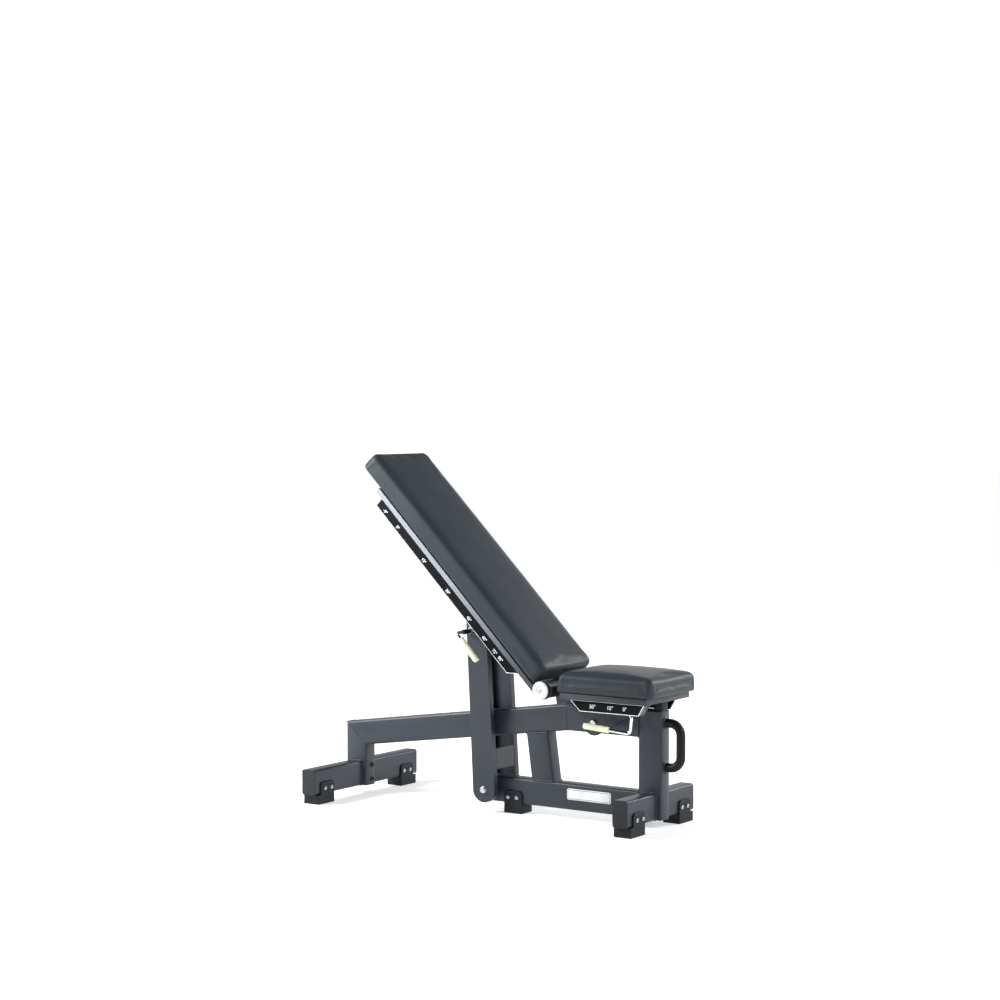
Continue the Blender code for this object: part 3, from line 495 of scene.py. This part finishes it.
def cushion(name, low, high, place, body, node, corner, top_edge, crown, lean=0.0):
    """A stuffed cover that stands for a CAD cushion, with room left inside its size to swell into."""
    inset = 0.0012
    start_low = (low[0] + inset, low[1] + inset, low[2] + 0.0006)
    start_high = (high[0] - inset, high[1] - inset, high[2] - inset)
    builder = pad_start(start_low, start_high, corner, top_edge, 0.005, lean)
    mesh = bpy.data.meshes.new(name)
    builder.to_mesh(mesh)
    builder.free()
    mesh = inflate(mesh, start_low[2])
    half_x, half_y = (high[0] - low[0]) / 2, (high[1] - low[1]) / 2
    mid_x, mid_y = (high[0] + low[0]) / 2, (high[1] + low[1]) / 2
    seam = 0.0075
    for vert in mesh.vertices:
        co = vert.co
        u, v = (co.x - mid_x) / half_x, (co.y - mid_y) / half_y
        share = max(0.0, min(1.0, (co.z - low[2]) / (high[2] - low[2])))
        dome = max(0.0, 1 - abs(v) ** 2.2) * max(0.0, 1 - abs(u) ** 2.6)
        co.z += crown * dome * share ** 2
        # the cover is drawn in along the seam just above the board
        pinch = 0.0016 * math.exp(-((co.z - low[2] - seam) / 0.0022) ** 2)
        co.y -= math.copysign(pinch, v) * min(1.0, abs(v) ** 6)
        co.x -= math.copysign(pinch, u) * min(1.0, abs(u) ** 6)
        co.z += 0.0005 * noise.noise(Vector((co.x * 14, co.y * 18, co.z * 26))) * share
    builder = bmesh.new()
    builder.from_mesh(mesh)
    bmesh.ops.smooth_vert(builder, verts=builder.verts, factor=0.5,
                          use_axis_x=True, use_axis_y=True, use_axis_z=True)
    for vert in builder.verts:
        vert.co.z = max(vert.co.z, low[2])
    bmesh.ops.transform(builder, matrix=place, verts=builder.verts)
    item = finish_mesh(name, builder, "leather", body, 180.0, (node,))
    subdivision = item.modifiers.new("smooth", "SUBSURF")
    subdivision.levels = 1
    subdivision.render_levels = 1
    return item


def add_cushions():
    low, high = (-0.946, -0.144, -0.0088), (-0.032, 0.144, 0.052)
    cushion("back_pad", low, high, BACK, "backrest", "back_cushion", 0.026, 0.014, 0.003)
    low = (MID - 0.226 - HINGE.x, -0.137, -0.002)
    high = (MID + 0.110 - HINGE.x, 0.137, 0.055)
    pad = cushion("seat_pad", low, high, SEAT, "seat", "seat_cushion", 0.018, 0.015, 0.013, 0.010)
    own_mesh(pad)


# ---------------------------------------------------------------- frame
def add_frame():
    for node in ("rear_post", "spine_beam", "head_beam", "front_post", "lower_beam", "mid_brace",
                 "front_crossbar_near", "front_crossbar_far", "rear_crossbar_near", "rear_crossbar_far",
                 "hinge_bracket", "hinge_tube"):
        refine(node, "frame", "bench_base", 0.0007)
    for node in ("front_bar_cap_near", "front_bar_cap_far", "rear_bar_cap_near", "rear_bar_cap_far",
                 "lower_beam_cap"):
        refine(node, "plastic", "bench_base", 0.0010, 3)
    for node in ("foot_front_near", "foot_front_far", "foot_rear_near", "foot_rear_far", "foot_middle"):
        refine(node, "rubber", "bench_base", 0.0022, 3)
    refine("seat_stop", "rubber", "bench_base", 0.0012)


def add_welds():
    reach = TUBE_WIDTH / 2 + GAP
    for end, post_x in (("front", POST_FRONT_X), ("rear", POST_REAR_X)):
        for side, sign in SIDES:
            loop = section_loop(Vector((post_x, sign * reach, BEAM_LOW_Z)), X, Z, TUBE_WIDTH, TUBE_DEPTH)
            weld_bead(f"weld_{end}_{side}", loop, "bench_base")
    for name, z in (("head", BEAM_TOP_Z), ("low", BEAM_LOW_Z)):
        loop = section_loop(Vector((MID, 0, z)), Y, Z, TUBE_WIDTH, TUBE_DEPTH)
        weld_bead(f"weld_{name}", loop, "bench_base")
    along = Vector((math.cos(SLOPE), 0, math.sin(SLOPE)))
    up = Vector((-math.sin(SLOPE), 0, math.cos(SLOPE)))
    kink = Vector((KINK_X, 0, BEAM_TOP_Z))
    half_up = (up + Z).normalized() / math.cos(SLOPE / 2)
    # the beads at the two mitred joints are thinner, and sit a little deeper in the tube
    width, depth = 0.0494, 0.0794
    weld_bead("weld_kink", section_loop(kink, Y, half_up, width, depth), "bench_base", 0.0014)
    elbow = kink + along * ((POST_REAR_X - KINK_X) / along.x)
    mitre = (along + Z).normalized()
    across = Vector((-mitre.z, 0, mitre.x))
    stretch = 1.0 / abs(across.dot(X)) * depth
    weld_bead("weld_elbow", section_loop(elbow, Y, across, width, stretch), "bench_base", 0.0014)
    top = kink + along * ((BRACE_X - KINK_X) / along.x) - up * 0.0402
    weld_bead("weld_brace_top", section_loop(top, Y, along, TUBE_WIDTH, TUBE_DEPTH), "bench_base")
    foot = top - up * ((top.z - 0.1102) / up.z)
    loop = section_loop(foot, Y, X, TUBE_WIDTH, TUBE_DEPTH / up.z)
    weld_bead("weld_brace_foot", loop, "bench_base")
    loop = [(-0.288, 0.3452), (-0.2543, 0.3503), (-0.205, 0.3503)]
    outline = [Vector((MID + x, -0.022, z)) for x, z in loop]
    outline += [Vector((MID + x, 0.022, z)) for x, z in loop[::-1]]
    weld_bead("weld_bracket", outline, "bench_base", 0.0024)


def add_fasteners():
    tab = 0.0063                                 # thickness of a foot's screw tab, with its gap
    head = (0.0062, 0.0034)                      # radius and height of a foot screw
    level = 0.049
    ends = (("front", POST_FRONT_X, (0.147, 0.113)), ("rear", POST_REAR_X, (0.222, 0.190)))
    for end, post_x, screws in ends:
        for side, sign in SIDES:
            for count, y in enumerate(screws):
                point = Vector((post_x + TUBE_WIDTH / 2 + tab - GAP, sign * y, level))
                screw(f"foot_screw_{end}_{side}_{count}", point, X, *head, "bench_base")
    for count, x in enumerate((-0.459, -0.428)):
        point = Vector((MID + x, -0.031, level))
        screw(f"foot_screw_middle_{count}", point, -Y, *head, "bench_base")
    for name, z in (("upper", 0.094), ("lower", 0.048)):
        point = Vector((MID - 1.0150, 0.006, z))
        screw(f"rear_post_bolt_{name}", point, X, 0.0078, 0.0050, "bench_base", "plastic")


def add_handle():
    face = MID + 0.0803
    reach = MID + 0.080 + 0.0515
    top, low = 0.3165, 0.185
    corners = [(face, 0, top), (reach, 0, top), (reach, 0, low), (face, 0, low)]
    builder = bmesh.new()
    sweep(builder, bent_path(corners, 0.034, 14), 0.0135, 32)
    finish_mesh("carry_handle_bar", builder, "handle", "bench_base", 50.0, ("carry_handle",))
    for name, z in (("top", top), ("low", low)):
        builder = bmesh.new()
        profile = [(0.0137, 0.0), (0.0185, 0.0), (0.0185, 0.0016), (0.0165, 0.0034), (0.0137, 0.0040)]
        turned(builder, profile, facing(Vector((MID + 0.0801, 0, z)), X), 40)
        finish_mesh(f"handle_collar_{name}", builder, "plastic", "bench_base", 40.0)


def add_hinge_caps():
    for side, sign in SIDES:
        place = facing(Vector((HINGE.x, sign * 0.1428, HINGE.z)), Y * sign)
        builder = bmesh.new()
        profile = [(0.0, -0.011), (0.0160, -0.011), (0.0160, 0.0), (0.0262, 0.0), (0.0270, 0.0008),
                   (0.0270, 0.0040), (0.0262, 0.0052), (0.0245, 0.0058), (0.0110, 0.0060),
                   (0.0096, 0.0052), (0.0080, 0.0050), (0.0, 0.0050)]
        turned(builder, profile, place, 64)
        finish_mesh(f"hinge_disc_{side}", builder, "white", "bench_base", 40.0, (f"hinge_cap_{side}",))
        screw(f"hinge_screw_{side}", place @ Vector((0, 0, 0.0049)), Y * sign, 0.0052, 0.0016, "bench_base")
        refine(f"hinge_bush_{side}", "plastic", "hinge_bushes", 0.0005)
        refine(f"hinge_sleeve_{side}", "plastic", "bench_base", 0.0012)


def add_label():
    refine("label_plate", "label", "bench_base", 0.0004)
    builder = bmesh.new()
    rings = []
    place = Matrix.Translation(Vector((MID - 0.170, -0.0263 - 0.0002, 0.0790)))
    raised = -0.00015
    outer, inner = (0.149, 0.028), (0.147, 0.026)
    for size, depth in ((outer, 0.0), (outer, raised), (inner, raised), (inner, 0.0)):
        outline = rounded_rectangle(*size, 0.004)
        rings.append([builder.verts.new(place @ Vector((a, depth, b))) for a, b in outline])
    for ring_a, ring_b in zip(rings, rings[1:] + rings[:1]):
        bridge(builder, ring_a, ring_b)
    finish_mesh("label_border", builder, "plastic", "bench_base", 40.0)


# ---------------------------------------------------------------- back
def rail_text_place(frame_matrix, along, level, sign, outer):
    """Reading along the rail from outside: near side towards the hinge, far side away from it."""
    x_axis = X * -sign
    z_axis = Y * sign
    local = Matrix((x_axis, Z, z_axis)).transposed().to_4x4()
    local.translation = Vector((along, sign * outer, level))
    return frame_matrix @ local


def strip(name, outline, low_y, high_y, place, material, body, width=0.0003):
    """A thin bar: an outline in the XZ plane given a depth along Y."""
    builder = bmesh.new()
    near = [builder.verts.new(place @ Vector((x, low_y, z))) for x, z in outline]
    far = [builder.verts.new(place @ Vector((x, high_y, z))) for x, z in outline]
    bridge(builder, near, far)
    builder.faces.new(near)
    builder.faces.new(far)
    item = finish_mesh(name, builder, material, body, 30.0)
    return round_edges(item, width)


def add_back():
    refine("back_board", "board", "backrest", 0.0010, 3)
    for side, sign in SIDES:
        refine(f"back_rail_{side}", "scale", "backrest", 0.0006)
        refine(f"back_side_bar_{side}", "shell", "backrest", 0.0009)
        outer = RAIL_OUTER
        lip = [(-0.842, -0.0892), (-0.143, -0.0892), (-0.1455, -0.0867), (-0.842, -0.0867)]
        ends = sorted((sign * (outer + 0.0002), sign * (outer + 0.0010)))
        strip(f"rail_lip_{side}", lip, *ends, BACK, "silver", "backrest")
        slant = [(-0.1432, -0.0894), (-0.1404, -0.0894), (-0.0846, -0.0336), (-0.0873, -0.0336)]
        ends = sorted((sign * (outer - 0.0118), sign * (outer + 0.0010)))
        strip(f"rail_end_{side}", slant, *ends, BACK, "silver", "backrest")
        for degrees, along in ((-9, 0.804), (0, 0.735), (15, 0.593), (30, 0.463), (45, 0.350),
                               (60, 0.268), (75, 0.215), (85, 0.185)):
            place = rail_text_place(BACK, -along, -0.077, sign, outer + 0.0003)
            lettering(f"scale_{side}_{degrees + 9}", f"{degrees}°", 0.0100, place, "backrest")
    for count, along in enumerate((0.10, 0.28, 0.46, 0.64, 0.80)):
        for side, sign in SIDES:
            point = BACK @ Vector((-along, sign * 0.045, -0.0332))
            direction = (BACK.to_3x3() @ -Z).normalized()
            screw(f"board_screw_{count}_{side}", point, direction, 0.0060, 0.0030, "backrest")


# ---------------------------------------------------------------- prop and levers
def add_prop():
    for side, sign in SIDES:
        refine(f"prop_member_{side}", "frame", "prop", 0.0010)
        refine(f"prop_spacer_{side}", "plastic", "prop_spacers", 0.0006)
        refine(f"prop_latch_pin_{side}", "zinc", "prop", 0.0005)
    refine("prop_cross_plate", "frame", "prop", 0.0006)
    # a bright link joins the latch pin to the lever's rod
    for side, sign in SIDES:
        ends = sorted((sign * 0.0699, sign * 0.0717))
        tip, rod_end = (0.0, 0.512), (-0.025, 0.487)
        link = arc(tip, 0.0095, -45, 135, 10) + arc(rod_end, 0.0085, 135, 315, 10)
        strip(f"latch_link_{side}", link, *ends, PROP_FRAME, "zinc", "prop", 0.0004)
    builder = bmesh.new()
    profile = [(0.0, -0.0765), (0.0092, -0.0765), (0.0100, -0.0757), (0.0100, -0.0710), (0.0110, -0.0708),
               (0.0110, -0.0699), (0.0078, -0.0699), (0.0078, 0.0699), (0.0110, 0.0699), (0.0110, 0.0708),
               (0.0100, 0.0710), (0.0100, 0.0757), (0.0092, 0.0765), (0.0, 0.0765)]
    turned(builder, profile, facing(PROP, Y), 40)
    finish_mesh("prop_bolt", builder, "zinc", "bench_base", 40.0, ("prop_axle",))
    for side, sign in SIDES:
        point = Vector((PROP.x, sign * 0.0764, PROP.z))
        screw(f"prop_bolt_face_{side}", point, Y * sign, 0.0080, 0.0012, "bench_base")


def grip_sleeve(name, start, end, body, node):
    """A hand grip: a sleeve with fine ribs, a collar and a rounded end."""
    direction = (end - start).normalized()
    length = (end - start).length
    profile = [(0.0052, 0.0), (0.0086, 0.0), (0.0095, 0.0010), (0.0095, 0.0030), (0.0090, 0.0038)]
    ribs, rib_radius, rib_depth = 9, 0.0092, 0.0003
    first, last = 0.010, length - 0.010
    profile.append((rib_radius, first))
    for i in range(ribs * 4 + 1):
        t = i / (ribs * 4)
        wave = (1 - math.cos(2 * math.pi * ribs * t)) / 2
        profile.append((rib_radius - rib_depth * wave + 0.0002, first + (last - first) * t))
    profile += [(0.0093, length - 0.006), (0.0088, length - 0.0028), (0.0070, length - 0.0008), (0.0, length)]
    builder = bmesh.new()
    turned(builder, [(0.0, 0.0)] + profile, facing(start, direction), 32)
    return finish_mesh(name, builder, "lever", body, 60.0, (node,))


def add_levers():
    rod_radius, bend_radius = 0.005, 0.010
    axis = PROP_FRAME @ Vector((-0.025, 0.0, 0.487))
    end = Vector((MID - 0.499, -0.140, 0.475))
    bend = Vector((axis.x, -0.140, axis.z))
    start = bend.lerp(end, 0.20)
    builder = bmesh.new()
    sweep(builder, bent_path([(axis.x, -0.046, axis.z), bend, start], bend_radius, 10), rod_radius, 24)
    finish_mesh("back_lever_bar", builder, "chrome", "back_lever", 50.0, ("back_lever_rod",))
    direction = (end - start).normalized()
    grip_sleeve("back_grip", start + direction * GAP, end, "back_lever", "back_lever_grip")
    builder = bmesh.new()
    sleeve = [(0.0052, 0.0), (0.0072, 0.0), (0.0074, 0.0006), (0.0074, 0.0330),
              (0.0068, 0.0336), (0.0052, 0.0336), (0.0052, 0.0)]
    turned(builder, sleeve, facing(Vector((axis.x, -0.0712, axis.z)), -Y), 32)
    finish_mesh("back_lever_sleeve", builder, "plastic", "back_lever", 40.0)

    top = STRUT_PIN + Vector((0.0076, -0.066, -0.0088))
    elbow = Vector((MID + 0.004, -0.067, 0.332))
    low = Vector((MID - 0.001, -0.068, 0.285))
    end = Vector((MID - 0.143, -0.100, 0.3025))
    start = low.lerp(end, 0.45)
    builder = bmesh.new()
    sweep(builder, bent_path([top, elbow, low, start], bend_radius, 12), rod_radius, 24)
    finish_mesh("seat_lever_bar", builder, "chrome", "seat_lever", 50.0, ("seat_lever_rod",))
    direction = (end - start).normalized()
    grip_sleeve("seat_grip", start + direction * GAP, end, "seat_lever", "seat_lever_grip")
    refine("seat_lever_hub", "zinc", "seat_lever", 0.0006)


def add_strut():
    for side, _ in SIDES:
        refine(f"strut_plate_{side}", "frame", "seat_strut", 0.0009)
    refine("strut_pin", "zinc", "seat_strut", 0.0006)
    refine("strut_bolt", "zinc", "bench_base", 0.0006)


# ---------------------------------------------------------------- seat
def add_seat():
    refine("seat_board", "board", "seat", 0.0012, 3)
    for side, sign in SIDES:
        refine(f"seat_rail_{side}", "scale", "seat", 0.0006)
        refine(f"seat_arm_{side}", "frame", "seat", 0.0008)
        outer = TRAY_OUTER
        place = Matrix.Translation((MID, 0.0, 0.0))
        ends = sorted((sign * (outer + 0.0002), sign * (outer + 0.0009)))
        bottom = [(-0.152, 0.3453), (0.048, 0.3453), (0.0492, 0.3474), (-0.1532, 0.3474)]
        strip(f"seat_lip_{side}", bottom, *ends, place, "silver", "seat")
        rear = [(-0.1534, 0.3476), (-0.1505, 0.3476), (-0.1832, 0.3788), (-0.1860, 0.3788)]
        strip(f"seat_rear_edge_{side}", rear, *ends, place, "silver", "seat")
        upper = [(-0.1830, 0.3766), (0.0650, 0.3766), (0.0660, 0.3788), (-0.1830, 0.3788)]
        strip(f"seat_top_edge_{side}", upper, *ends, place, "silver", "seat")
        front = [(0.0484, 0.3453), (0.0512, 0.3453), (0.0708, 0.3788), (0.0680, 0.3788)]
        ends = sorted((sign * 0.0745, sign * (outer + 0.0009)))
        strip(f"seat_front_edge_{side}", front, *ends, place, "silver", "seat")
        for degrees, x in ((30, -0.107), (15, -0.0465), (0, 0.004)):
            point = rail_text_place(place, x, 0.3615, sign, outer + 0.0003)
            lettering(f"seat_scale_{side}_{degrees}", f"{degrees}°", 0.0110, point, "seat")


# ---------------------------------------------------------------- studio
def plain(name, colour, roughness):
    material, tree, shader = shader_material(name, colour, roughness)
    soft = noise_texture(tree, 0.8, 2.0)
    spread(tree, soft.outputs["Fac"], roughness - 0.02, roughness + 0.02, shader.inputs["Roughness"])
    return material


def area_light(name, place, aim, size, power):
    data = bpy.data.lights.new(name, "AREA")
    data.shape = "RECTANGLE"
    data.size, data.size_y = size
    data.energy = power
    item = bpy.data.objects.new(name, data)
    item.location = place
    item.rotation_euler = (Vector(aim) - Vector(place)).to_track_quat("-Z", "Y").to_euler()
    bpy.context.collection.objects.link(item)


def add_studio():
    builder = bmesh.new()
    bmesh.ops.create_grid(builder, x_segments=2, y_segments=2, size=40.0)
    mesh = bpy.data.meshes.new("studio_floor")
    builder.to_mesh(mesh)
    builder.free()
    floor = bpy.data.objects.new("studio_floor", mesh)
    material = plain("floor_white", (0.90, 0.90, 0.90), 0.9)
    shader = material.node_tree.nodes["Principled BSDF"]
    shader.inputs["Specular IOR Level"].default_value = 0.0
    shader.inputs["Emission Color"].default_value = (1.0, 1.0, 1.0, 1.0)
    # its own glow is weaker under the bench, where the soft shadows lie
    tree = material.node_tree
    coordinates = add_node(tree, "ShaderNodeTexCoord")
    reach = add_node(tree, "ShaderNodeVectorMath", operation="LENGTH")
    tree.links.new(coordinates.outputs["Object"], reach.inputs[0])
    map_range(tree, reach.outputs["Value"], 0.7, 2.6, 0.40, 0.80, shader.inputs["Emission Strength"])
    floor.data.materials.append(material)
    bpy.context.collection.objects.link(floor)
    # a bright wall all round, falling to a dim ceiling, so upward faces stay dark
    world = bpy.data.worlds.new("studio")
    world.use_nodes = True
    tree = world.node_tree
    background = tree.nodes["Background"]
    coordinates = tree.nodes.new("ShaderNodeTexCoord")
    split = tree.nodes.new("ShaderNodeSeparateXYZ")
    ramp = tree.nodes.new("ShaderNodeValToRGB")
    ramp.color_ramp.elements[0].position = 0.19
    ramp.color_ramp.elements[0].color = (1.15, 1.15, 1.15, 1.0)
    ramp.color_ramp.elements[1].position = 0.42
    ramp.color_ramp.elements[1].color = (0.20, 0.22, 0.25, 1.0)
    tree.links.new(coordinates.outputs["Generated"], split.inputs["Vector"])
    tree.links.new(split.outputs["Z"], ramp.inputs["Fac"])
    tree.links.new(ramp.outputs["Color"], background.inputs["Color"])
    # and dimmer on the -Y side, so the faces on that side keep some depth
    map_range(tree, split.outputs["Y"], -0.75, 0.05, 0.18, 1.0, background.inputs["Strength"])
    bpy.context.scene.world = world
    area_light("side", (3.6, -0.3, 1.9), (0.1, 0.0, 0.45), (1.4, 2.0), 40.0)
    area_light("front", (-1.9, -1.4, 1.7), (-0.4, 0.0, 0.4), (1.0, 1.2), 105.0)
    area_light("right", (2.1, 3.0, 1.9), (0.0, 0.0, 0.5), (1.8, 1.4), 95.0)
    area_light("back", (-0.4, 3.6, 2.0), (0.0, 0.0, 0.5), (3.0, 1.2), 12.0)
    scene = bpy.context.scene
    scene.view_settings.view_transform = "Standard"
    scene.view_settings.look = "None"
    data = bpy.data.cameras.new("camera")
    data.sensor_width = 36.0
    data.lens = 80.77
    data.clip_end = 200.0
    camera = bpy.data.objects.new("camera", data)
    camera.location = (3.392 + MID, -5.685, 1.238)
    camera.rotation_euler = (math.radians(90 - 2.32), 0.0, math.radians(34.47))
    bpy.context.collection.objects.link(camera)
    scene.camera = camera


add_frame()
add_welds()
add_fasteners()
add_handle()
add_hinge_caps()
add_label()
add_back()
add_prop()
add_levers()
add_strut()
add_seat()
add_cushions()
add_studio()
